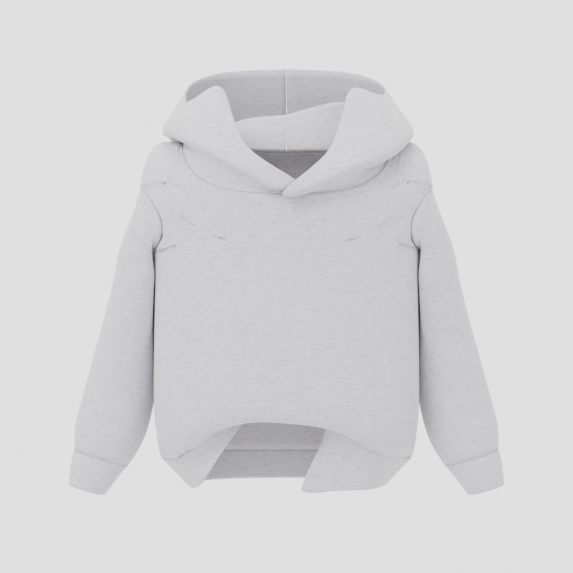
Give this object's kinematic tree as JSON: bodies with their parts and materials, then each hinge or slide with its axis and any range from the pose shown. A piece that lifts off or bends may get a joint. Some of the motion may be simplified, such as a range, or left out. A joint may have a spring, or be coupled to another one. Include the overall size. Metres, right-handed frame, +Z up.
{
  "type": "toddler hoodie",
  "caption": "Toddler pullover hoodie of light heather sweatshirt cloth in worn pose: wide folded-back two-piece hood, full sleeves with cuffs, bloused body with a partly tucked hem band",
  "frame": {"origin": "midway between the two shoulder ridges, on the line where the garment rests on whoever wears it", "axes": "+Z up, the front faces -Y, +X is the wearer's left"},
  "size_m": [0.5062, 0.2341, 0.4977],
  "materials": {
    "fleece": "matte light heather grey sweatshirt fleece with short horizontal slub streaks"
  },
  "bodies": {
    "root": {"front_panel": "fleece", "back_panel": "fleece", "waistband_front": "fleece", "waistband_back": "fleece", "sleeve_left": "fleece", "cuff_left": "fleece", "sleeve_right": "fleece", "cuff_right": "fleece", "hood_right": "fleece", "hood_left": "fleece"}
  },
  "joints": []
}
